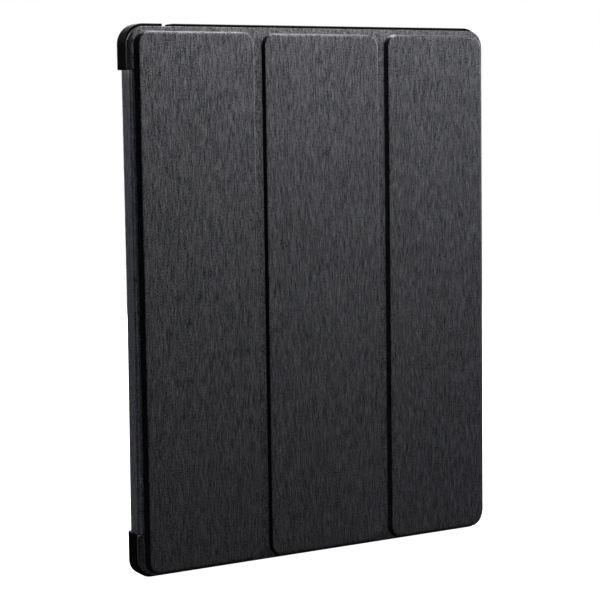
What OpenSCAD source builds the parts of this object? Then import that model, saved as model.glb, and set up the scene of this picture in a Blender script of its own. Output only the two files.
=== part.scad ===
// Tri-fold folio case for a tablet, standing upright and closed.
// A moulded tray with four corner clips holds the tablet. A folding cover of
// three raised, board-stiffened panels is joined to it by a soft spine along the left side.
// The cover faces -Y, the spine is at -X, the tray's back faces +Y.
// Origin: centre of the outline, on the surface the case stands on.

/* [Tablet] */
// Width of the tablet that the case holds
tablet_w = 185.7; // [178:0.1:200]
// Height of the tablet that the case holds
tablet_h = 241.2; // [225:0.1:265]
// Thickness of the tablet at its edge
tablet_d = 8.8; // [8.4:0.1:10]
// Free play left all round the tablet
play = 0.35; // [0.2:0.05:0.5]

/* [Tray] */
// Thickness of the tray's back and side walls
shell_t = 1.4; // [1.3:0.1:1.8]
// Radius of the tray's upper corners, seen from the front
shell_r = 9; // [8:0.5:12]
// Radius of the tray's lower corners, seen from the front
foot_r = 7; // [6:0.5:8]
// Radius of the edge between the back and the walls
back_r = 3.5; // [3:0.1:4]
// Length of each left-hand clip, measured from the end of the tray
clip_len = 20; // [16:1:28]
// Thickness of the lips that hold the tablet's front edge
lip_t = 0.5; // [0.4:0.1:0.8]
// How far the lips reach in over the tablet
lip_reach = 1.6; // [1:0.1:2.2]

/* [Openings] */
// Width of the headphone notch in the top wall
jack_w = 5.8; // [5:0.1:9]
// Distance from the middle of the case to the middle of the headphone notch
jack_x = 73.6; // [60:0.1:78]
// Length of the slot over the volume buttons
volume_len = 30; // [20:1:36]
// Length of the slot over the power button
power_len = 15; // [12:1:18]
// Length of the charging port slot
port_len = 24; // [12:1:30]
// Length of the speaker slot
speaker_len = 22; // [12:1:26]

/* [Cover] */
// Thickness of the covering skin
skin_t = 0.6; // [0.5:0.05:0.7]
// Thickness of the lining
lining_t = 0.5; // [0.4:0.05:0.6]
// Height of the raised panels above the sheet around them
raise_h = 1.35; // [1:0.05:1.5]
// Height of the panels on the lining side
inner_raise = 0.7; // [0.5:0.05:0.9]
// Radius of the cover sheet's corners
cover_r = 8; // [6:0.5:10]
// Radius of the raised panels' corners
panel_r = 6; // [5:0.5:8]
// Width of the bevel round each raised panel
bevel_w = 1.1; // [0.8:0.1:1.3]
// Gap between the lining and the tray's rim when closed
cover_gap = 0.3; // [0.2:0.05:0.6]

/* [Panels] */
// Width of the first raised panel, next to the spine
panel_1_w = 58.2; // [50:0.1:62]
// Width of the second raised panel
panel_2_w = 61.9; // [54:0.1:66]
// Width of each fold between two raised panels
fold_w = 4.3; // [4:0.1:6]

/* [Hidden] */
shell_w = tablet_w + 2 * (shell_t + play);
shell_h = tablet_h + 2 * (shell_t + play);
shell_d = tablet_d + shell_t + lip_t;
sheet_t = inner_raise + skin_t + lining_t;
total_d = shell_d + cover_gap + sheet_t + raise_h;
hw = shell_w / 2;

// depths, measured towards the front from the middle of the case
w_back = -total_d / 2;
w_rim = w_back + shell_d;
w_in = w_rim + cover_gap;         // lining's inner face on the panels
w_s0 = w_in + inner_raise;        // lining's inner face in the folds
w_s1 = w_s0 + lining_t;           // between lining and skin in the folds
w_s2 = w_s1 + skin_t;             // sheet's outer face
w_face = total_d / 2;             // raised faces
w_b0 = w_in + lining_t;           // boards
w_b1 = w_face - skin_t;

// heights
zc0 = 1;
zc1 = shell_h - 1.3;
zp0 = zc0 + 0.5;
zp1 = zc1 - 2.1;
z_clip0 = clip_len;
z_clip1 = shell_h - clip_len;
z_sp0 = z_clip0 + 0.25;
z_sp1 = z_clip1 - 0.25;

// spine strip and its two bends
strip_t = skin_t + lining_t;
sp_x = -hw + 0.7;                 // outer face of the spine
r_rear = 6;                       // bend at the back edge
r_front = 2;                      // bend at the front edge
rear_cx = sp_x + r_rear;
rear_cw = w_back + r_rear;
front_cx = sp_x + r_front;
front_cw = w_s2 - r_front;
sp_gap = 0.5;
film_t = 0.25;
tape_t = 0.1;
flap_x1 = rear_cx + 26;
flap_r = 5;

// panels across the width
cover_x0 = -hw + 0.3;
cover_x1 = hw - 0.2;
sheet_x0 = front_cx + 0.4;
p1a = -hw + 4.3;
p1b = p1a + panel_1_w;
p2a = p1b + fold_w;
p2b = p2a + panel_2_w;
p3a = p2b + fold_w;
p3b = cover_x1 - 1;
edge = 0.3;                       // sheet kept round a raised panel at a fold
board_in = 1.35;

// turns a drawing of x, depth and height (x, w, z) upright: x stays, w goes to -Y
module plane_at(w0, w1) {
  // a 2D outline in (x, z), from depth w0 to depth w1
  translate([0, -w0, 0]) rotate([90, 0, 0]) linear_extrude(w1 - w0) children();
}

// a 2D outline in (x, -w), raised from height z0 to z1
module column(z0, z1) {
  translate([0, 0, z0]) linear_extrude(z1 - z0) children();
}

// rounded rectangle from (x0, y0) to (x1, y1)
module rrect(x0, x1, y0, y1, r) {
  translate([x0 + r, y0]) square([x1 - x0 - 2 * r, y1 - y0]);
  translate([x0, y0 + r]) square([x1 - x0, y1 - y0 - 2 * r]);
  for (x = [x0 + r, x1 - r], y = [y0 + r, y1 - r]) translate([x, y]) circle(r = r, $fn = 64);
}

// a slot with round ends, in 2D, centred
module slot2(len, wide) {
  square([len - wide, wide], center = true);
  for (s = [-1, 1]) translate([s * (len - wide) / 2, 0]) circle(d = wide, $fn = 32);
}

// sweeps a profile round a rounded rectangle; the profile's x runs inwards
// from the outline and its y is the height above the drawing plane;
// r is the radius of the upper corners, q that of the lower ones
module swept_frame(x0, x1, y0, y1, r, q) {
  for (c = [[x1 - r, y1 - r, 0, r], [x0 + r, y1 - r, 90, r], [x0 + q, y0 + q, 180, q], [x1 - q, y0 + q, 270, q]])
    translate([c[0], c[1], 0]) rotate([0, 0, c[2]])
      rotate_extrude(angle = 90, $fn = 96) translate([c[3], 0]) mirror([1, 0]) children();
  translate([x0 + q, y0, 0]) rotate([90, 0, 90]) linear_extrude(x1 - x0 - 2 * q) children();
  translate([x1, y0 + q, 0]) rotate([90, 0, 180]) linear_extrude(y1 - y0 - r - q) children();
  translate([x1 - r, y1, 0]) rotate([90, 0, 270]) linear_extrude(x1 - x0 - 2 * r) children();
  translate([x0, y1 - r, 0]) rotate([90, 0, 0]) linear_extrude(y1 - y0 - r - q) children();
}

// the same drawing plane turned upright, its height running towards the front
module upright(w) {
  translate([0, -w, 0]) rotate([90, 0, 0]) children();
}

// cross-section of the tray's wall, from the back (y = 0) to the rim
module wall_profile() {
  translate([0, back_r]) square([shell_t, shell_d - back_r - 0.6]);
  translate([0.6, shell_d - 0.7]) square([shell_t - 0.6, 0.7]);
  translate([0.6, shell_d - 0.6]) circle(r = 0.6, $fn = 32);
  intersection() {
    square([back_r, back_r]);
    translate([back_r, back_r]) difference() {
      circle(r = back_r, $fn = 64);
      circle(r = back_r - shell_t, $fn = 64);
    }
  }
  translate([back_r - 0.01, 0]) square([foot_r - back_r + 0.01, shell_t]);
}

// the lip that reaches in over the tablet
module lip_profile() {
  translate([shell_t - 0.3, shell_d - lip_t]) square([lip_reach + 0.3, lip_t]);
}

module back_shell() {
  color([0.02, 0.02, 0.022]) difference() {
    union() {
      upright(w_back) {
        swept_frame(-hw, hw, 0, shell_h, shell_r, foot_r) wall_profile();
        translate([-hw + foot_r - 0.01, foot_r - 0.01, 0])
          cube([shell_w - 2 * foot_r + 0.02, shell_h - 2 * foot_r + 0.02, shell_t]);
        // lips at the four corners only
        intersection() {
          swept_frame(-hw, hw, 0, shell_h, shell_r, foot_r) lip_profile();
          for (x = [-hw - 1, hw - 26], z = [-1, shell_h - clip_len])
            translate([x, z, 0]) cube([27, clip_len + 1, shell_d + 1]);
        }
      }
    }
    // left side left open for the spine, with rounded clip ends
    plane_at(w_back - 1, w_rim + 1) {
      translate([-hw - 1, z_clip0]) square([rear_cx + 0.3 + hw + 1, z_clip1 - z_clip0]);
      for (s = [0, 1]) translate([0, s * shell_h]) mirror([0, s]) difference() {
        translate([-hw - 0.5, z_clip0 - 1.2]) square([1.7, 1.3]);
        translate([-hw + 1.2, z_clip0 - 1.2]) circle(r = 1.2, $fn = 48);
      }
      // headphone notch, open at the top edge
      translate([-jack_x - jack_w / 2, shell_h - 3.2]) square([jack_w, 5]);
      translate([-jack_x, shell_h - 3.2]) slot2(jack_w, 1.6);
    }
    // recess for the flap of the cover that is glued to the back
    plane_at(w_back - 1, w_back + skin_t + tape_t)
      rrect(rear_cx - 20, flap_x1 + 0.2, z_sp0 - 0.2, z_sp1 + 0.2, flap_r + 0.2);
    // camera window
    plane_at(w_back - 1, w_back + shell_t + 1)
      translate([hw - 17, shell_h - 15.5]) slot2(19, 12);
    // volume slot in the right wall
    translate([hw - 3, -(w_back + 5.9), shell_h - 36]) rotate([0, 90, 0]) linear_extrude(5) slot2(volume_len, 4.6);
    // power slot in the top wall
    translate([hw - 23, -(w_back + 5.9), shell_h - 4]) linear_extrude(6) slot2(power_len, 4.4);
    // charging port and speaker slots in the bottom wall
    translate([0, -(w_back + 6.2), -2]) linear_extrude(6) slot2(port_len, 5.4);
    translate([hw - 32, -(w_back + 6.2), -2]) linear_extrude(6) slot2(speaker_len, 4.4);
  }
}

// quarter bend between two radii, in (x, -w), turned to the side it faces
module quarter(cx, cw, r0, r1, sx, sy) {
  translate([cx, -cw]) intersection() {
    difference() { circle(r = r1, $fn = 96); circle(r = r0, $fn = 96); }
    translate([sx > 0 ? 0 : -r1 - 1, sy > 0 ? 0 : -r1 - 1]) square([r1 + 1, r1 + 1]);
  }
}

module rear_flap_skin() {
  color([0.2, 0.2, 0.21]) plane_at(w_back, w_back + skin_t) intersection() {
    rrect(rear_cx - 20, flap_x1, z_sp0, z_sp1, flap_r);
    translate([rear_cx, 0]) square([60, shell_h]);
  }
}

module rear_flap_tape() {
  color([0.85, 0.85, 0.8]) plane_at(w_back + skin_t, w_back + skin_t + tape_t)
    rrect(rear_cx + 1.5, flap_x1 - 1.5, z_sp0 + 1.5, z_sp1 - 1.5, flap_r - 1.5);
}

module rear_bend_skin() {
  color([0.2, 0.2, 0.21]) column(z_sp0, z_sp1) quarter(rear_cx, rear_cw, r_rear - skin_t, r_rear, -1, 1);
}

module rear_bend_lining() {
  color([0.28, 0.28, 0.3]) column(z_sp0, z_sp1) quarter(rear_cx, rear_cw, r_rear - strip_t, r_rear - skin_t, -1, 1);
}

module spine_strip(x0, x1) {
  column(z_sp0, z_sp1) translate([x0, -front_cw]) square([x1 - x0, front_cw - rear_cw - sp_gap]);
}

module spine_skin() { color([0.2, 0.2, 0.21]) spine_strip(sp_x, sp_x + skin_t); }

module spine_stiffener() { color([0.75, 0.75, 0.72]) spine_strip(sp_x + skin_t, sp_x + skin_t + film_t); }

module spine_lining() { color([0.28, 0.28, 0.3]) spine_strip(sp_x + skin_t + film_t, sp_x + strip_t); }

module front_bend_skin() {
  color([0.2, 0.2, 0.21]) column(z_sp0, z_sp1) quarter(front_cx, front_cw, r_front - skin_t, r_front, -1, -1);
}

module front_bend_lining() {
  color([0.28, 0.28, 0.3]) column(z_sp0, z_sp1) quarter(front_cx, front_cw, r_front - strip_t, r_front - skin_t, -1, -1);
}

// part of the cover sheet between two x positions
module sheet2(x0, x1) {
  intersection() {
    rrect(cover_x0, cover_x1, zc0, zc1, cover_r);
    translate([x0, 0]) square([x1 - x0, shell_h]);
  }
}

// the first panel's share of the sheet, with the tabs that lie over the left clips
module sheet2_first(x1) {
  intersection() {
    sheet2(cover_x0 - 1, x1);
    union() {
      translate([sheet_x0, 0]) square([x1 - sheet_x0, shell_h]);
      translate([-hw - 1, 0]) square([10, z_clip0 - 0.1]);
      translate([-hw - 1, z_clip1 + 0.1]) square([10, clip_len]);
    }
  }
}

// side profile of a raised panel, its foot at y = 0
module pad_profile() {
  polygon([[0, -skin_t], [0, 0], [0.22 * bevel_w, 0.55 * raise_h], [0.55 * bevel_w, 0.88 * raise_h],
    [bevel_w, raise_h], [panel_r, raise_h], [panel_r, -skin_t]]);
}

module pad(x0, x1) {
  upright(w_s2) {
    swept_frame(x0, x1, zp0, zp1, panel_r, panel_r) pad_profile();
    translate([x0 + panel_r - 0.01, zp0 + panel_r - 0.01, -skin_t])
      cube([x1 - x0 - 2 * panel_r + 0.02, zp1 - zp0 - 2 * panel_r + 0.02, raise_h + skin_t]);
  }
}

module board2(x0, x1) {
  rrect(x0 + board_in, x1 - board_in, zp0 + board_in, zp1 - board_in, panel_r - board_in);
}

module panel_skin(x0, x1) {
  difference() {
    union() {
      plane_at(w_s1, w_s2) children();
      pad(x0, x1);
    }
    plane_at(w_s1 - 1, w_b1) board2(x0, x1);
  }
}

module panel_lining(x0, x1) {
  difference() {
    union() {
      plane_at(w_s0, w_s1) children();
      plane_at(w_in, w_s1) rrect(x0 + 0.3, x1 - 0.3, zp0 + 0.3, zp1 - 0.3, panel_r - 0.3);
    }
    plane_at(w_b0, w_s1 + 1) board2(x0, x1);
  }
}

module board(x0, x1) { plane_at(w_b0, w_b1) board2(x0, x1); }

module panel_1_skin() { color([0.24, 0.24, 0.255]) panel_skin(p1a, p1b) sheet2_first(p1b + edge); }
module panel_1_lining() { color([0.28, 0.28, 0.3]) panel_lining(p1a, p1b) sheet2_first(p1b + edge); }
module panel_1_board() {
  color([0.5, 0.48, 0.44]) difference() {
    board(p1a, p1b);
    plane_at(w_b0 - 1, w_b0 + 0.6) plate2(0.1);
  }
}

// steel plate that the third panel's magnets hold on to when the cover is a stand
module plate2(grow) {
  translate([p1a + 9 - grow, shell_h / 2 - 80 - grow]) square([12 + 2 * grow, 160 + 2 * grow]);
}
module stand_plate() { color([0.7, 0.7, 0.72]) plane_at(w_b0, w_b0 + 0.6) plate2(0); }

module fold_sheet(x0, x1, w0, w1) { plane_at(w0, w1) sheet2(x0, x1); }

module fold_1_skin() { color([0.2, 0.2, 0.21]) fold_sheet(p1b + edge, p2a - 2 * edge, w_s1, w_s2); }
module fold_1_lining() { color([0.28, 0.28, 0.3]) fold_sheet(p1b + edge, p2a - 2 * edge, w_s0, w_s1); }

module panel_2_skin() { color([0.24, 0.24, 0.255]) panel_skin(p2a, p2b) sheet2(p2a - edge, p2b + edge); }
module panel_2_lining() { color([0.28, 0.28, 0.3]) panel_lining(p2a, p2b) sheet2(p2a - edge, p2b + edge); }
module panel_2_board() { color([0.5, 0.48, 0.44]) board(p2a, p2b); }

module fold_2_skin() { color([0.2, 0.2, 0.21]) fold_sheet(p2b + edge, p3a - 2 * edge, w_s1, w_s2); }
module fold_2_lining() { color([0.28, 0.28, 0.3]) fold_sheet(p2b + edge, p3a - 2 * edge, w_s0, w_s1); }

module panel_3_skin() { color([0.24, 0.24, 0.255]) panel_skin(p3a, p3b) sheet2(p3a - edge, cover_x1); }
module panel_3_lining() { color([0.28, 0.28, 0.3]) panel_lining(p3a, p3b) sheet2(p3a - edge, cover_x1); }
module panel_3_board() {
  color([0.5, 0.48, 0.44]) difference() {
    board(p3a, p3b);
    plane_at(w_b0 - 1, w_b0 + 1.5) { bars2(0.1); wake2(0.1); }
  }
}

// bar magnets along the free edge
module bars2(grow) {
  for (z = [34, 68, 176, 210]) translate([p3b - 9 - grow, z - 10 - grow]) square([5 + 2 * grow, 20 + 2 * grow]);
}
module edge_magnets() { color([0.7, 0.7, 0.7]) plane_at(w_b0, w_b0 + 1.5) bars2(0); }

// block magnet over the tablet's lid sensor
module wake2(grow) {
  translate([p3b - 11 - grow, shell_h / 2 - 5 - grow]) square([7 + 2 * grow, 10 + 2 * grow]);
}
module wake_magnet() { color([0.7, 0.7, 0.7]) plane_at(w_b0, w_b0 + 1.5) wake2(0); }

back_shell();
rear_flap_skin();
rear_flap_tape();
rear_bend_skin();
rear_bend_lining();
spine_skin();
spine_stiffener();
spine_lining();
front_bend_skin();
front_bend_lining();
panel_1_skin();
panel_1_board();
panel_1_lining();
stand_plate();
fold_1_skin();
fold_1_lining();
panel_2_skin();
panel_2_board();
panel_2_lining();
fold_2_skin();
fold_2_lining();
panel_3_skin();
panel_3_board();
panel_3_lining();
edge_magnets();
wake_magnet();
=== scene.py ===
import math
import random

import bmesh
import bpy
import numpy as np
from mathutils import Matrix, Vector


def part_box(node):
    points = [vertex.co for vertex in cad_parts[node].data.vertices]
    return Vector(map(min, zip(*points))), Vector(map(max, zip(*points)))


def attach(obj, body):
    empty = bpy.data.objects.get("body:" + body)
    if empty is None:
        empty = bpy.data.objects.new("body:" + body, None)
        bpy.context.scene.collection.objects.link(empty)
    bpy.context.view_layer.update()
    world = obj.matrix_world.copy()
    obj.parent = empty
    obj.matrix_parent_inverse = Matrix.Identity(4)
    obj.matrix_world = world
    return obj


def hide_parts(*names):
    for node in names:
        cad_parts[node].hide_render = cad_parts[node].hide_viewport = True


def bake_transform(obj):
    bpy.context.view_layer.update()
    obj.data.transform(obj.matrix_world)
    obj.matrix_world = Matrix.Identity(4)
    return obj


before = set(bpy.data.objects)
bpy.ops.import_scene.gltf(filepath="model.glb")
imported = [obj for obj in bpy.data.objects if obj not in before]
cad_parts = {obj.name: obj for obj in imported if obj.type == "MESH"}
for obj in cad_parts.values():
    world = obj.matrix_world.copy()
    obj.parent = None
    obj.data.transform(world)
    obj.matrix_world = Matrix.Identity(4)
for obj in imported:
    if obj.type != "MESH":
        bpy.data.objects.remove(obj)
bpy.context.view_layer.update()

random.seed(7)
np.random.seed(7)
MM = 0.001
col = bpy.context.scene.collection

# ---------------------------------------------------------------- dimensions
lo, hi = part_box("back_shell")
HW = hi[0] / MM
H = hi[2] / MM
W_BACK = -hi[1] / MM
W_RIM = -lo[1] / MM
blo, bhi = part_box("panel_1_skin")
W_FACE = -blo[1] / MM
W_S1 = -bhi[1] / MM
W_S2 = W_S1 + 0.6
W_S0 = W_S1 - 0.5
W_IN = -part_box("panel_1_lining")[1][1] / MM
ZC0, ZC1 = blo[2] / MM, bhi[2] / MM
COVER_X0, COVER_X1 = blo[0] / MM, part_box("panel_3_skin")[1][0] / MM
ZP0, ZP1 = ZC0 + 0.5, ZC1 - 2.1
f1lo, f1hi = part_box("fold_1_skin")
f2lo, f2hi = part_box("fold_2_skin")
P1B, P2A = f1lo[0] / MM - 0.3, f1hi[0] / MM + 0.6
P2B, P3A = f2lo[0] / MM - 0.3, f2hi[0] / MM + 0.6
P3C = P3A - 0.7
P1A = -HW + 4.3
P3B = COVER_X1 - 1.0
slo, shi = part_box("spine_skin")
SP_X = slo[0] / MM
Z0, Z1 = slo[2] / MM - 0.16, shi[2] / MM + 0.16
R_REAR, R_FRONT = 6.0, 2.0
REAR_CX, REAR_CW = SP_X + R_REAR, W_BACK + R_REAR
FRONT_CX, FRONT_CW = SP_X + R_FRONT, W_S2 - R_FRONT
SHEET_X0 = FRONT_CX + 0.4
CLIP = 20.0
RAISE = W_FACE - W_S2
EAR_X = -HW + 3.0


# ---------------------------------------------------------------- mesh helpers
def new_object(name, verts, faces, mats, smooth=True, flat_faces=()):
    """verts are (x, depth, z) in millimetres, the depth counted towards the front"""
    me = bpy.data.meshes.new(name)
    me.from_pydata([(x * MM, -w * MM, z * MM) for x, w, z in verts], [], faces)
    me.validate()
    ob = bpy.data.objects.new(name, me)
    col.objects.link(ob)
    for m in mats:
        me.materials.append(m)
    bm = bmesh.new()
    bm.from_mesh(me)
    bmesh.ops.remove_doubles(bm, verts=bm.verts, dist=1e-7)
    bmesh.ops.recalc_face_normals(bm, faces=bm.faces)
    for f in bm.faces:
        f.smooth = smooth
    if smooth:
        for e in bm.edges:
            if len(e.link_faces) == 2 and e.calc_face_angle(0) > math.radians(38):
                e.smooth = False
    bm.to_mesh(me)
    bm.free()
    return ob


def join(name, obs):
    """one mesh out of several, each part kept as its own shell"""
    bm = bmesh.new()
    mats = []
    for o in obs:
        tmp = bmesh.new()
        tmp.from_mesh(o.data)
        for m in o.data.materials:
            if m not in mats:
                mats.append(m)
        me2 = o.data
        base = len(bm.verts)
        vmap = [bm.verts.new(v.co) for v in tmp.verts]
        tmp.verts.index_update()
        for f in tmp.faces:
            nf = bm.faces.new([vmap[v.index] for v in f.verts])
            nf.smooth = f.smooth
            nf.material_index = mats.index(me2.materials[f.material_index])
        bm.edges.ensure_lookup_table()
        for e in tmp.edges:
            if not e.smooth:
                ne = bm.edges.get([vmap[v.index] for v in e.verts])
                if ne:
                    ne.smooth = False
        tmp.free()
    me = bpy.data.meshes.new(name)
    bm.to_mesh(me)
    bm.free()
    for m in mats:
        me.materials.append(m)
    ob = bpy.data.objects.new(name, me)
    col.objects.link(ob)
    for o in obs:
        bpy.data.objects.remove(o)
    return ob


def ring(x0, x1, z0, z1, rx0, rx1, rz, nc=14, nx=10, nz=40):
    """rounded rectangle, counter-clockwise, always the same number of points; the
    corners on the left may be wider than those on the right"""
    rx0, rx1, rz = max(rx0, 0.03), max(rx1, 0.03), max(rz, 0.03)
    pts = []
    corners = [(x1 - rx1, z0 + rz, -90, rx1), (x1 - rx1, z1 - rz, 0, rx1), (x0 + rx0, z1 - rz, 90, rx0), (x0 + rx0, z0 + rz, 180, rx0)]
    for i, (cx, cz, a0, rx) in enumerate(corners):
        arc = [(cx + rx * math.cos(math.radians(a0 + 90 * k / nc)), cz + rz * math.sin(math.radians(a0 + 90 * k / nc))) for k in range(nc + 1)]
        pts += arc
        nxt = corners[(i + 1) % 4]
        a1 = math.radians(nxt[2])
        end = (nxt[0] + nxt[3] * math.cos(a1), nxt[1] + rz * math.sin(a1))
        n = nz if i % 2 == 0 else nx
        for k in range(1, n):
            t = k / n
            pts.append((arc[-1][0] * (1 - t) + end[0] * t, arc[-1][1] * (1 - t) + end[1] * t))
    return pts


def lathe_pad(name, x0, x1, z0, z1, r, profile, sign, mats, base_w, foot=0.0, shift=0.0, knee=0.34, rise=0.97):
    """a raised pad: profile is (distance in from the foot, height), sign +1 to the front;
    foot pushes the left side's foot out and shift moves the edge of its face in, with an
    even slope between them"""
    verts, faces = [], []
    n = None
    for d, h in profile:
        dl = d + shift if h > rise else -foot + (knee + shift + foot) * (h / rise) ** 0.92
        pts = ring(x0 + dl, x1 - d, z0 + d, z1 - d, r - dl, r - d, r - d)
        n = len(pts)
        verts += [(x, base_w + sign * h, z) for x, z in pts]
    for k in range(len(profile) - 1):
        for i in range(n):
            j = (i + 1) % n
            faces.append((k * n + i, k * n + j, (k + 1) * n + j, (k + 1) * n + i))
    faces.append(tuple(range((len(profile) - 1) * n, len(profile) * n)))
    ob = new_object(name, verts, faces, mats)
    if len(mats) > 1:  # painted shade: the faces turned to the left get the second skin, darker and duller
        for p in ob.data.polygons:
            if p.normal.x < -0.42:
                p.material_index = 1
    return ob


def slab(name, outline, w0, w1, e, mats, round_high=True, round_low=False):
    """a flat sheet: outline points are (x, z, nx, nz), n pointing inwards; e rounds the edge"""
    steps = [(0.0, 0.0), (0.12, 0.5), (0.35, 0.8), (0.7, 0.96), (1.0, 1.0)]
    rings = []
    if round_low:
        rings += [(e * a, w0 + e * (1 - b)) for a, b in reversed(steps)]
    else:
        rings.append((0, w0))
    if round_high:
        rings += [(e * a, w1 - e * (1 - b)) for a, b in steps]
    else:
        rings.append((0, w1))
    verts, faces, n = [], [], len(outline)
    for d, w in rings:
        verts += [(x + nx * d, w, z + nz * d) for x, z, nx, nz in outline]
    for k in range(len(rings) - 1):
        for i in range(n):
            j = (i + 1) % n
            faces.append((k * n + i, k * n + j, (k + 1) * n + j, (k + 1) * n + i))
    faces.append(tuple(range(n)))
    faces.append(tuple(range((len(rings) - 1) * n, len(rings) * n)))
    return new_object(name, verts, faces, mats)


def arc_pts(cx, cz, r, a0, a1, n):
    """an outline arc; the inward direction points at its centre"""
    out = []
    for k in range(n + 1):
        a = math.radians(a0 + (a1 - a0) * k / n)
        out.append((cx + r * math.cos(a), cz + r * math.sin(a), -math.cos(a), -math.sin(a)))
    return out


def spline(points, n):
    """a smooth curve through the points, cut into n equal steps"""
    p = [Vector((*q, 0)) for q in points]
    p = [p[0] * 2 - p[1]] + p + [p[-1] * 2 - p[-2]]
    dense = []
    for i in range(1, len(p) - 2):
        for k in range(20):
            t = k / 20
            dense.append(0.5 * ((2 * p[i]) + (p[i + 1] - p[i - 1]) * t + (2 * p[i - 1] - 5 * p[i] + 4 * p[i + 1] - p[i + 2]) * t * t
                                + (3 * p[i] - p[i - 1] - 3 * p[i + 1] + p[i + 2]) * t ** 3))
    dense.append(p[-2])
    acc = [0.0]
    for u, v in zip(dense, dense[1:]):
        acc.append(acc[-1] + (v - u).length)
    out, j = [], 0
    for k in range(n + 1):
        want = acc[-1] * k / n
        while j < len(acc) - 2 and acc[j + 1] < want:
            j += 1
        t = (want - acc[j]) / max(acc[j + 1] - acc[j], 1e-9)
        q = dense[j].lerp(dense[j + 1], min(max(t, 0), 1))
        out.append((q.x, q.y))
    return out


def lean(x, z):
    """the soft spine isn't quite straight: it leans in by a hair above the middle"""
    t = min(max((115 - z) / 100, 0), 1)
    k = min(max((-91.0 - x) / 2.9, 0), 1)
    return (0.38 - 0.7 * t * t * (3 - 2 * t)) * k


def strip2(name, outer, innr, z0, z1, e, mats, nz=36):
    """a strip between an outer and an inner line in (x, depth), its two ends rounded"""
    zs = [z0 + e * t for t in (0.0, 0.12, 0.4, 1.0)] + [z0 + e + (z1 - z0 - 2 * e) * k / nz for k in range(1, nz)] + \
        [z1 - e * t for t in (1.0, 0.4, 0.12, 0.0)]
    ins = [e, 0.4 * e, 0.12 * e, 0.0] + [0.0] * (nz - 1) + [0.0, 0.12 * e, 0.4 * e, e]
    m, rows, verts, faces = len(outer), len(zs), [], []
    for side in (0, 1):
        for z, d in zip(zs, ins):
            for (xo, wo), (xi, wi) in zip(outer, innr):
                th = math.hypot(xi - xo, wi - wo) or 1.0
                t = d / th
                x, w = (xo + (xi - xo) * t, wo + (wi - wo) * t) if side == 0 else (xi, wi)
                verts.append((x + lean(x, z), w, z))
    off = rows * m
    for k in range(rows - 1):
        for i in range(m - 1):
            a, b = k * m + i, k * m + i + 1
            faces.append((a, b, b + m, a + m))
            faces.append((off + a, off + a + m, off + b + m, off + b))
        for i in (0, m - 1):
            a = k * m + i
            faces.append((a, a + m, off + a + m, off + a))
    for k in (0, rows - 1):
        for i in range(m - 1):
            a = k * m + i
            faces.append((a, a + 1, off + a + 1, off + a))
    return new_object(name, verts, faces, mats)


def ear(name, x1, za, zb, top, low, e, r, upper, mats, nx=26, nz=22):
    """a tab of the sheet over a clip: it droops towards its outer edge. top and low give
    the depth of its two faces at a given x; za is the free end next to the spine strip and
    zb the end of the sheet, whose corner is rounded by r"""
    s = 1 if upper else -1
    xs = [COVER_X0 + (x1 - COVER_X0) * (k / nx) ** 1.5 for k in range(nx + 1)]
    frac = [0.0, 0.012, 0.035, 0.07, 0.1] + [0.1 + 0.8 * k / nz for k in range(1, nz)] + [0.9, 0.93, 0.965, 0.988, 1.0]
    grid = []
    for side in (0, 1):
        for v in frac:
            row = []
            for x in xs:
                cx = COVER_X0 + r
                end = zb - s * (r - math.sqrt(max(r * r - (x - cx) ** 2, 0)) if x < cx else 0.0)
                rr = 0.9
                st = za + s * (rr - math.sqrt(max(rr * rr - (x - COVER_X0 - rr) ** 2, 0)) if x < COVER_X0 + rr else 0.0)
                z = st + (end - st) * v
                near = min(abs(z - st), abs(end - z), (x - COVER_X0) * 1.0)
                q = min(near / e, 1.0)
                drop = e * (1 - math.sqrt(max(1 - (1 - q) ** 2, 0)))
                wt, wl = top(x), low(x)
                mid = 0.5 * (wt + wl)
                row.append((x, max(wt - drop, mid) if side == 0 else min(wl + 0.4 * drop, mid), z))
            grid.append(row)
    m, rows = len(xs), len(frac)
    verts = [p for row in grid for p in row]
    faces, off = [], len(frac) * m
    for k in range(rows - 1):
        for i in range(m - 1):
            a = k * m + i
            faces.append((a, a + 1, a + 1 + m, a + m))
            faces.append((off + a, off + a + m, off + a + 1 + m, off + a + 1))
        for i in (0, m - 1):
            a = k * m + i
            faces.append((a, a + m, off + a + m, off + a))
    for k in (0, rows - 1):
        for i in range(m - 1):
            a = k * m + i
            faces.append((a, a + 1, off + a + 1, off + a))
    return new_object(name, verts, faces, mats)


# ---------------------------------------------------------------- materials
def nodes_of(name):
    m = bpy.data.materials.new(name)
    m.use_nodes = True
    t = m.node_tree
    return m, t, t.nodes["Principled BSDF"]


def add(t, kind, **values):
    n = t.nodes.new(kind)
    for k, v in values.items():
        setattr(n, k, v)
    return n


def coords(t, scale):
    tc = add(t, "ShaderNodeTexCoord")
    mp = add(t, "ShaderNodeMapping")
    mp.inputs["Scale"].default_value = scale
    t.links.new(tc.outputs["Object"], mp.inputs["Vector"])
    return mp.outputs["Vector"]


def noise(t, vec, scale=1.0, detail=2.0, rough=0.5, distortion=0.0):
    n = add(t, "ShaderNodeTexNoise")
    t.links.new(vec, n.inputs["Vector"])
    n.inputs["Scale"].default_value = scale
    n.inputs["Detail"].default_value = detail
    n.inputs["Roughness"].default_value = rough
    n.inputs["Distortion"].default_value = distortion
    return n.outputs["Fac"]


def ramp(t, fac, stops):
    r = add(t, "ShaderNodeValToRGB")
    r.color_ramp.elements[0].position, r.color_ramp.elements[0].color = stops[0][0], (*stops[0][1], 1)
    r.color_ramp.elements[1].position, r.color_ramp.elements[1].color = stops[-1][0], (*stops[-1][1], 1)
    for p, c in stops[1:-1]:
        e = r.color_ramp.elements.new(p)
        e.color = (*c, 1)
    t.links.new(fac, r.inputs["Fac"])
    return r.outputs["Color"]


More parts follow.
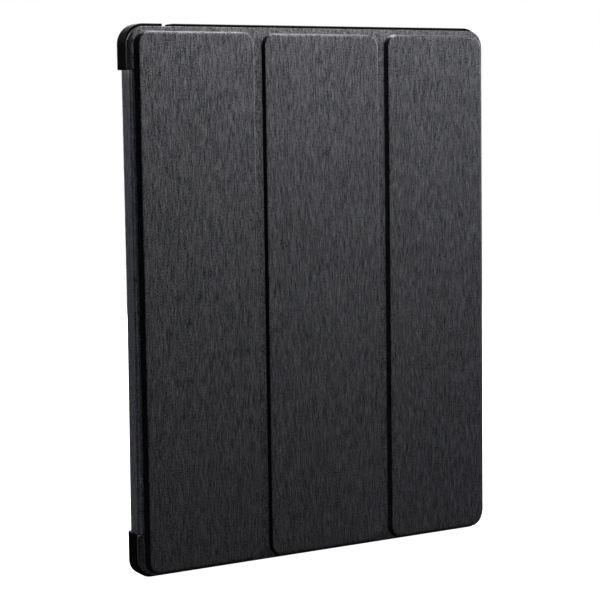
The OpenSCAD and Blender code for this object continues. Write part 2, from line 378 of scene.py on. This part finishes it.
def math_node(t, op, a, b=None, clamp=False):
    n = add(t, "ShaderNodeMath", operation=op, use_clamp=clamp)
    for i, v in enumerate((a, b)):
        if v is None:
            continue
        if isinstance(v, (int, float)):
            n.inputs[i].default_value = v
        else:
            t.links.new(v, n.inputs[i])
    return n.outputs[0]


def map_range(t, fac, a, b, c, d):
    n = add(t, "ShaderNodeMapRange")
    t.links.new(fac, n.inputs["Value"])
    for i, v in zip(("From Min", "From Max", "To Min", "To Max"), (a, b, c, d)):
        n.inputs[i].default_value = v
    return n.outputs["Result"]


def mix_rgb(t, fac, a, b, blend="MIX"):
    n = add(t, "ShaderNodeMix", data_type="RGBA", blend_type=blend)
    if isinstance(fac, (int, float)):
        n.inputs["Factor"].default_value = fac
    else:
        t.links.new(fac, n.inputs["Factor"])
    for key, v in (("A", a), ("B", b)):
        s = [i for i in n.inputs if i.name == key and i.type == "RGBA"][0]
        if isinstance(v, tuple):
            s.default_value = (*v, 1)
        else:
            t.links.new(v, s)
    return [o for o in n.outputs if o.type == "RGBA"][0]


def bump(t, height, strength, distance, normal=None):
    b = add(t, "ShaderNodeBump")
    b.inputs["Strength"].default_value = strength
    b.inputs["Distance"].default_value = distance
    t.links.new(height, b.inputs["Height"])
    if normal is not None:
        t.links.new(normal, b.inputs["Normal"])
    return b.outputs["Normal"]


def brushed_skin(name, gain=1.0, depth=0.00016, gloss=1.0):
    """synthetic leather with a fine brushed grain that runs up the case"""
    m, t, p = nodes_of(name)
    fine = noise(t, coords(t, (3000, 3000, 190)), 1.0, 2.0, 0.6)
    grain = noise(t, coords(t, (3100, 3100, 1700)), 1.0, 1.0, 0.5)
    mid = noise(t, coords(t, (750, 750, 95)), 1.0, 2.0, 0.55)
    broad = noise(t, coords(t, (38, 38, 17)), 1.0, 2.0, 0.5)
    streak = math_node(t, "ADD", math_node(t, "ADD", math_node(t, "MULTIPLY", fine, 0.42), math_node(t, "MULTIPLY", grain, 0.50)),
                       math_node(t, "MULTIPLY", mid, 0.08))
    g = gain
    base = ramp(t, streak, [(0.36, (0.0040 * g, 0.0042 * g, 0.0053 * g)), (0.5, (0.0088 * g, 0.0092 * g, 0.0114 * g)),
                            (0.64, (0.0190 * g, 0.0198 * g, 0.0240 * g))])
    tone = ramp(t, broad, [(0.3, (0.86, 0.86, 0.87)), (0.7, (1.0, 1.0, 1.0))])
    t.links.new(mix_rgb(t, 1.0, base, tone, "MULTIPLY"), p.inputs["Base Color"])
    t.links.new(map_range(t, streak, 0.38, 0.62, 0.46, 0.36), p.inputs["Roughness"])
    t.links.new(map_range(t, streak, 0.425, 0.60, 0.05 * gloss, 1.0 * gloss), p.inputs["Specular IOR Level"])
    t.links.new(bump(t, streak, 0.9, depth), p.inputs["Normal"])
    return m


def microfibre(name):
    m, t, p = nodes_of(name)
    pile = noise(t, coords(t, (3600, 3600, 3600)), 1.0, 3.0, 0.65)
    nap = noise(t, coords(t, (160, 160, 60)), 1.0, 3.0, 0.55)
    base = ramp(t, pile, [(0.3, (0.03, 0.03, 0.033)), (0.7, (0.075, 0.076, 0.082))])
    tone = ramp(t, nap, [(0.3, (0.8, 0.8, 0.82)), (0.7, (1.0, 1.0, 1.0))])
    t.links.new(mix_rgb(t, 1.0, base, tone, "MULTIPLY"), p.inputs["Base Color"])
    p.inputs["Roughness"].default_value = 0.95
    p.inputs["Specular IOR Level"].default_value = 0.2
    p.inputs["Sheen Weight"].default_value = 0.25
    p.inputs["Sheen Roughness"].default_value = 0.45
    t.links.new(bump(t, pile, 0.5, 0.00012), p.inputs["Normal"])
    return m


def moulded(name):
    """black moulded plastic: very fine spark texture, a little uneven in its gloss; painted shade makes the sides and
    clips much darker and nearly without reflection, while the back face keeps the plain plastic
    """
    m, t, p = nodes_of(name)
    grain = noise(t, coords(t, (2600, 2600, 2600)), 1.0, 2.0, 0.6)
    cloud = noise(t, coords(t, (70, 70, 70)), 1.0, 3.0, 0.55)
    where = add(t, "ShaderNodeTexCoord")
    part = add(t, "ShaderNodeSeparateXYZ")
    t.links.new(where.outputs["Object"], part.inputs[0])
    # painted shade: everything in front of the back face, the sides and clips, gets a colour about ten times darker and
    # its specular level cut from 0.30 to 0.02
    back = map_range(t, part.outputs["Y"], 0.0052, 0.0068, 0.0, 1.0)
    painted_shade_sides = ramp(t, cloud, [(0.3, (0.0006, 0.0006, 0.0008)), (0.7, (0.0013, 0.0013, 0.0016))])
    matt = ramp(t, grain, [(0.3, (0.0060, 0.0061, 0.0068)), (0.7, (0.0110, 0.0112, 0.0124))])
    t.links.new(mix_rgb(t, back, painted_shade_sides, matt), p.inputs["Base Color"])
    rough = math_node(t, "ADD", map_range(t, cloud, 0.3, 0.7, 0.42, 0.52), map_range(t, grain, 0.3, 0.7, -0.03, 0.03))
    t.links.new(rough, p.inputs["Roughness"])
    t.links.new(map_range(t, part.outputs["Y"], 0.0052, 0.0068, 0.02, 0.30), p.inputs["Specular IOR Level"])
    t.links.new(bump(t, grain, 0.22, 0.00008), p.inputs["Normal"])
    return m


def simple(name, lo_c, hi_c, scale, rough, metal=0.0, spec=0.4, strength=0.2, dist=0.00005):
    m, t, p = nodes_of(name)
    n1 = noise(t, coords(t, scale), 1.0, 4.0, 0.6)
    t.links.new(ramp(t, n1, [(0.3, lo_c), (0.7, hi_c)]), p.inputs["Base Color"])
    t.links.new(map_range(t, n1, 0.3, 0.7, rough - 0.06, rough + 0.06), p.inputs["Roughness"])
    p.inputs["Metallic"].default_value = metal
    p.inputs["Specular IOR Level"].default_value = spec
    t.links.new(bump(t, n1, strength, dist), p.inputs["Normal"])
    return m


M_SKIN = brushed_skin("brushed_skin")
# painted light: the same skin as the panels at 4.4 times its brightness, standing in for the light on the spine; used
# on the spine side, both bends and the rear flap
M_PAINTED_LIGHT_SKIN = brushed_skin("brushed_skin_painted_light", 4.4)
# painted shade: the same skin at 0.4 of its brightness and with little gloss, put on the left-facing sides of the
# raised pads
M_PAINTED_SHADE = brushed_skin("painted_shade_skin", 0.4, gloss=0.2)
M_LIN = microfibre("microfibre_lining")
M_SHELL = moulded("moulded_shell")
M_BOARD = simple("grey_board", (0.2, 0.19, 0.17), (0.33, 0.31, 0.28), (1500, 1500, 500), 0.9)
M_FILM = simple("polyester_film", (0.5, 0.5, 0.48), (0.6, 0.6, 0.58), (300, 300, 300), 0.35)
M_TAPE = simple("adhesive_film", (0.62, 0.6, 0.5), (0.74, 0.72, 0.62), (500, 500, 500), 0.5)
M_STEEL = simple("cold_rolled_steel", (0.42, 0.42, 0.44), (0.56, 0.56, 0.58), (200, 200, 2600), 0.38, 1.0)
M_MAG = simple("nickel_plate", (0.55, 0.54, 0.52), (0.66, 0.65, 0.63), (900, 900, 900), 0.28, 1.0)


def assign(node, mat):
    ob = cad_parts[node]
    ob = ob if isinstance(ob, bpy.types.Object) else bpy.data.objects[node]
    if not ob.material_slots:
        ob.data.materials.append(mat)
    for s in ob.material_slots:
        s.material = mat


assign("back_shell", M_SHELL)
for n in ("panel_1_board", "panel_2_board", "panel_3_board"):
    assign(n, M_BOARD)
assign("spine_stiffener", M_FILM)
assign("rear_flap_tape", M_TAPE)
assign("stand_plate", M_STEEL)
assign("edge_magnets", M_MAG)
assign("wake_magnet", M_MAG)

# ---------------------------------------------------------------- cover panels
OUT = [(-0.42, 0.006), (-0.26, 0.02), (-0.12, 0.07), (0.0, 0.18), (0.1, 0.42), (0.2, 0.7), (0.32, 0.95),
       (0.48, 1.14), (0.7, 1.265), (0.95, 1.325), (1.25, RAISE), (2.2, RAISE), (4.5, RAISE)]
INN = [(-0.3, 0.004), (-0.1, 0.05), (0.05, 0.18), (0.2, 0.4), (0.42, 0.58), (0.75, 0.675), (1.2, 0.7), (2.4, 0.7), (4.5, 0.7)]


def outline_first(x1):
    """the first panel's sheet without its two tabs"""
    r = 8.0
    dz = r - math.sqrt(r * r - (COVER_X0 + r - EAR_X) ** 2)
    o = [(x1, ZC0, 0, 1), (x1, ZC1, 0, -1)]
    top = [p for p in arc_pts(COVER_X0 + r, ZC1 - r, r, 90, 180, 32) if p[0] > EAR_X + 0.05]
    bot = [p for p in arc_pts(COVER_X0 + r, ZC0 + r, r, 180, 270, 32) if p[0] > EAR_X + 0.05]
    o += top + [(EAR_X, ZC1 - dz, 0.05, -1)] + [(EAR_X, 180, 0, 0), (EAR_X, 60, 0, 0)] + [(EAR_X, ZC0 + dz, 0.05, 1)] + bot
    return o


def outline_mid(x0, x1):
    return [(x0, ZC0, 0, 1), (x1, ZC0, 0, 1), (x1, ZC1, 0, -1), (x0, ZC1, 0, -1)]


def outline_last(x0):
    r = 8.0
    o = [(x0, ZC1, 0, -1), (x0, ZC0, 0, 1)]
    o += arc_pts(COVER_X1 - r, ZC0 + r, r, -90, 0, 16)
    o += [(COVER_X1, 60, -1, 0), (COVER_X1, 180, -1, 0)]
    o += arc_pts(COVER_X1 - r, ZC1 - r, r, 0, 90, 16)
    return o


def skin_top(x):
    t = min(max((EAR_X - x) / (EAR_X - COVER_X0), 0), 1)
    return W_S2 - 0.85 * t ** 1.5


def skin_low(x):
    t = min(max((EAR_X - x) / (EAR_X - COVER_X0), 0), 1)
    return W_S1 - 0.85 * t ** 1.5


def lin_low(x):
    t = min(max((EAR_X - x) / (EAR_X - COVER_X0), 0), 1)
    return W_S0 - 0.72 * t ** 1.5


TAB_LO, TAB_HI = CLIP - 0.05, H - CLIP + 0.05
PANELS = (  # foot x0, x1, sheet x0, x1, left foot pushed out, left edge moved in, top lowered
    (P1A, P1B, EAR_X, P1B, 1.25, 0.25, 0.0),
    (P2A, P2B, P2A, P2B, 0.25, 0.3, 0.5),
    (P3A, P3B, P3C, COVER_X1, 0.95, 0.4, 0.25))
for i, (x0, x1, sx0, sx1, foot, shift, low) in enumerate(PANELS, 1):
    body = f"panel_{i}"
    line = (outline_first(P1B), outline_mid(P2A, P2B), outline_last(P3C))[i - 1]
    # the pads' left-facing sides take the painted shade skin
    parts = [slab("s", line, W_S1, W_S2, 0.28, [M_SKIN]),
             lathe_pad("b", x0, x1, ZP0, ZP1 - low, 6.0, OUT, 1, [M_SKIN, M_PAINTED_SHADE], W_S2, foot, shift)]
    if i == 1:
        parts += [ear("e", EAR_X, TAB_HI, ZC1, skin_top, skin_low, 0.28, 8.0, True, [M_SKIN]),
                  ear("e", EAR_X, TAB_LO, ZC0, skin_top, skin_low, 0.28, 8.0, False, [M_SKIN])]
    skin = join(f"cover_skin_{i}", parts)
    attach(skin, body)
    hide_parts(f"panel_{i}_skin")
    parts = [slab("s", line, W_S0, W_S1, 0.22, [M_LIN], round_high=False, round_low=True),
             lathe_pad("b", x0 + 0.3, x1 - 0.3, ZP0 + 0.3, ZP1 - 0.3, 5.7, INN, -1, [M_LIN], W_S0, rise=-1)]
    if i == 1:
        parts += [ear("e", EAR_X, TAB_HI, ZC1, skin_low, lin_low, 0.1, 8.0, True, [M_LIN]),
                  ear("e", EAR_X, TAB_LO, ZC0, skin_low, lin_low, 0.1, 8.0, False, [M_LIN])]
    lin = join(f"cover_lining_{i}", parts)
    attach(lin, body)
    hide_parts(f"panel_{i}_lining")

# ---------------------------------------------------------------- soft folds and bends
def level(x0, x1, w, n=18, rise=0.0, reach=1.0):
    """a level line, rising towards its right end"""
    out = []
    for k in range(n + 1):
        x = x0 + (x1 - x0) * k / n
        t = min(max((x - x1 + reach) / reach, 0), 1)
        out.append((x, w + rise * t * t))
    return out


for i, (xa, xb, a, b, rise, reach) in enumerate(((P1B, P2A, "panel_1", "panel_2", 0.12, 0.7), (P2B, P3C, "panel_2", "panel_3", 0.16, 1.1)), 1):
    s = strip2(f"fold_skin_{i}", level(xa, xb, W_S2, rise=rise, reach=reach), level(xa, xb, W_S1), ZC0, ZC1, 0.28, [M_SKIN])
    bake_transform(s)
    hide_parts(f"fold_{i}_skin")
    s = strip2(f"fold_lining_{i}", level(xa, xb, W_S1), level(xa, xb, W_S0), ZC0, ZC1, 0.22, [M_LIN])
    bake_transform(s)
    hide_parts(f"fold_{i}_lining")


def quarter(cx, cw, r, a0, a1, n=20):
    return [(cx + r * math.cos(math.radians(a0 + (a1 - a0) * k / n)), cw + r * math.sin(math.radians(a0 + (a1 - a0) * k / n))) for k in range(n + 1)]


# the skin rounds the front edge, sinks into the crease and meets the first panel's foot
F_OUT = spline([(SP_X, FRONT_CW), (SP_X + 0.06, FRONT_CW + 0.52), (SP_X + 0.26, FRONT_CW + 1.02), (SP_X + 0.6, FRONT_CW + 1.34),
                (SP_X + 0.95, FRONT_CW + 1.45), (SP_X + 1.35, FRONT_CW + 1.52), (SP_X + 1.8, FRONT_CW + 1.68), (EAR_X, W_S2)], 30)
F_MID = spline([(SP_X + 0.6, FRONT_CW), (SP_X + 0.63, FRONT_CW + 0.34), (SP_X + 0.78, FRONT_CW + 0.66), (SP_X + 1.02, FRONT_CW + 0.88),
                (SP_X + 1.35, FRONT_CW + 0.98), (SP_X + 1.65, FRONT_CW + 1.04), (SP_X + 2.0, FRONT_CW + 1.2), (EAR_X, W_S1)], 30)
F_INN = spline([(SP_X + 1.1, FRONT_CW), (SP_X + 1.14, FRONT_CW + 0.14), (SP_X + 1.26, FRONT_CW + 0.31), (SP_X + 1.46, FRONT_CW + 0.42),
                (SP_X + 1.7, FRONT_CW + 0.48), (SP_X + 1.9, FRONT_CW + 0.54), (SP_X + 2.1, FRONT_CW + 0.7), (EAR_X, W_S0)], 30)
# the skin of both bends takes the painted light skin
for nm, outer, innr, r0, r1, mat, sl, e in (("skin", F_OUT, F_MID, R_REAR, R_REAR - 0.6, M_PAINTED_LIGHT_SKIN, "skin", 0.25),
                                            ("lining", F_MID, F_INN, R_REAR - 0.6, R_REAR - 1.1, M_LIN, "lining", 0.15)):
    ob = strip2(f"front_bend_{nm}_soft", outer, innr, Z0, Z1, e, [mat])
    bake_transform(ob)
    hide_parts(f"front_bend_{nm}")
    ob = strip2(f"rear_bend_{nm}_soft", quarter(REAR_CX, REAR_CW, r0, 270, 180), quarter(REAR_CX, REAR_CW, r1, 270, 180), Z0, Z1, e, [mat])
    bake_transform(ob)
    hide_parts(f"rear_bend_{nm}")


def upright_line(x, n=8):
    return [(x, REAR_CW + (FRONT_CW - REAR_CW) * k / n) for k in range(n + 1)]


# the spine side takes the painted light skin
ob = strip2("spine_side_skin", upright_line(SP_X), upright_line(SP_X + 0.6), Z0, Z1, 0.25, [M_PAINTED_LIGHT_SKIN])
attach(ob, "spine")
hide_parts("spine_skin")
ob = strip2("spine_side_lining", upright_line(SP_X + 0.85), upright_line(SP_X + 1.1), Z0, Z1, 0.1, [M_LIN])
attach(ob, "spine")
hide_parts("spine_lining")

# the end of the sheet that is glued to the back
flap_x1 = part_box("rear_flap_skin")[1][0] / MM
r = 5.0
line = [(REAR_CX, Z0, 0, 1)] + arc_pts(flap_x1 - r, Z0 + r, r, -90, 0, 12) + \
    [(flap_x1, 80, -1, 0), (flap_x1, 160, -1, 0)] + arc_pts(flap_x1 - r, Z1 - r, r, 0, 90, 12) + [(REAR_CX, Z1, 0, -1)]
# the rear flap takes the painted light skin
ob = slab("rear_flap", line, W_BACK, W_BACK + 0.6, 0.25, [M_PAINTED_LIGHT_SKIN], round_high=False, round_low=True)
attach(ob, "shell")
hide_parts("rear_flap_skin")

# ---------------------------------------------------------------- camera
F_PX = 1806.89
yaw, pitch, roll = math.radians(30.744), math.radians(5.781), math.radians(-0.7931)
fwd = Vector((math.sin(yaw) * math.cos(pitch), math.cos(yaw) * math.cos(pitch), -math.sin(pitch)))
right = Vector((math.cos(yaw), -math.sin(yaw), 0))
up = right.cross(fwd)
r2 = math.cos(roll) * right + math.sin(roll) * up
u2 = -math.sin(roll) * right + math.cos(roll) * up
cam = bpy.data.objects.new("camera", bpy.data.cameras.new("camera"))
col.objects.link(cam)
cam.data.sensor_width = 36.0
cam.data.lens = F_PX / 600 * 36.0
cam.data.clip_start = 0.01
cam.data.clip_end = 50
cam.matrix_world = Matrix((
    (r2.x, u2.x, -fwd.x, -0.432965),
    (r2.y, u2.y, -fwd.y, -0.717465),
    (r2.z, u2.z, -fwd.z, 0.203277),
    (0, 0, 0, 1)))
bpy.context.scene.camera = cam

# ---------------------------------------------------------------- stage and light
bpy.ops.mesh.primitive_plane_add(size=12, location=(0, 0, 0))
floor = bpy.context.object
floor.name = "floor"
fm, ft, fp = nodes_of("floor_white")
lp = add(ft, "ShaderNodeLightPath")
em = add(ft, "ShaderNodeEmission")
em.inputs["Color"].default_value = (1, 1, 1, 1)
em.inputs["Strength"].default_value = 1.0
mx = add(ft, "ShaderNodeMixShader")
fp.inputs["Base Color"].default_value = (0.6, 0.6, 0.6, 1)
fp.inputs["Roughness"].default_value = 0.9
dif = add(ft, "ShaderNodeBsdfDiffuse")
dif.inputs["Color"].default_value = (0.05, 0.05, 0.052, 1)
addsh = add(ft, "ShaderNodeAddShader")
ft.links.new(fp.outputs["BSDF"], addsh.inputs[0])
ft.links.new(em.outputs["Emission"], addsh.inputs[1])
ft.links.new(lp.outputs["Is Camera Ray"], mx.inputs["Fac"])
ft.links.new(dif.outputs["BSDF"], mx.inputs[1])
ft.links.new(addsh.outputs["Shader"], mx.inputs[2])
ft.links.new(mx.outputs["Shader"], ft.nodes["Material Output"].inputs["Surface"])
floor.data.materials.append(fm)

world = bpy.data.worlds.new("studio")
bpy.context.scene.world = world
world.use_nodes = True
wt = world.node_tree
for n in list(wt.nodes):
    wt.nodes.remove(n)
wo = wt.nodes.new("ShaderNodeOutputWorld")
b1 = wt.nodes.new("ShaderNodeBackground")
b1.inputs["Color"].default_value = (1, 1, 1, 1)
b1.inputs["Strength"].default_value = 0.006
b2 = wt.nodes.new("ShaderNodeBackground")
b2.inputs["Color"].default_value = (1, 1, 1, 1)
b2.inputs["Strength"].default_value = 1.0
wl = wt.nodes.new("ShaderNodeLightPath")
wm = wt.nodes.new("ShaderNodeMixShader")
wt.links.new(wl.outputs["Is Camera Ray"], wm.inputs["Fac"])
wt.links.new(b1.outputs[0], wm.inputs[1])
wt.links.new(b2.outputs[0], wm.inputs[2])
wt.links.new(wm.outputs[0], wo.inputs["Surface"])


def area(name, loc, target, size, power, size_y=None, color=(1, 1, 1)):
    d = bpy.data.lights.new(name, "AREA")
    d.energy = power
    d.color = color
    if size_y:
        d.shape = "RECTANGLE"
        d.size, d.size_y = size, size_y
    else:
        d.size = size
    o = bpy.data.objects.new(name, d)
    col.objects.link(o)
    o.location = loc
    o.visible_camera = False
    o.rotation_euler = (Vector(target) - Vector(loc)).to_track_quat("-Z", "Y").to_euler()
    return o


COOL = (0.985, 0.985, 1.035)
area("front_soft", (0.34, -0.58, 0.47), (0.0, 0.0, 0.23), 0.18, 3.0, color=COOL)
area("top_soft", (0.11, -0.07, 0.62), (0.0, 0.0, 0.20), 0.20, 5.0, color=COOL)
area("right_key", (0.90, -0.12, 0.40), (0.0, 0.0, 0.14), 0.35, 7.5, color=COOL)
area("low_fill", (0.85, -1.40, 0.12), (0.0, 0.0, 0.08), 0.5, 3.0, color=COOL)
area("back_left", (-0.55, 0.35, 0.55), (-0.09, 0.0, 0.12), 0.35, 5.2)
area("rear_soft", (0.35, 0.95, 0.30), (0.0, 0.0, 0.12), 0.7, 10.0)

sc = bpy.context.scene
sc.view_settings.view_transform = "Standard"
sc.view_settings.look = "None"
sc.view_settings.exposure = 0.0
sc.view_settings.gamma = 1.0
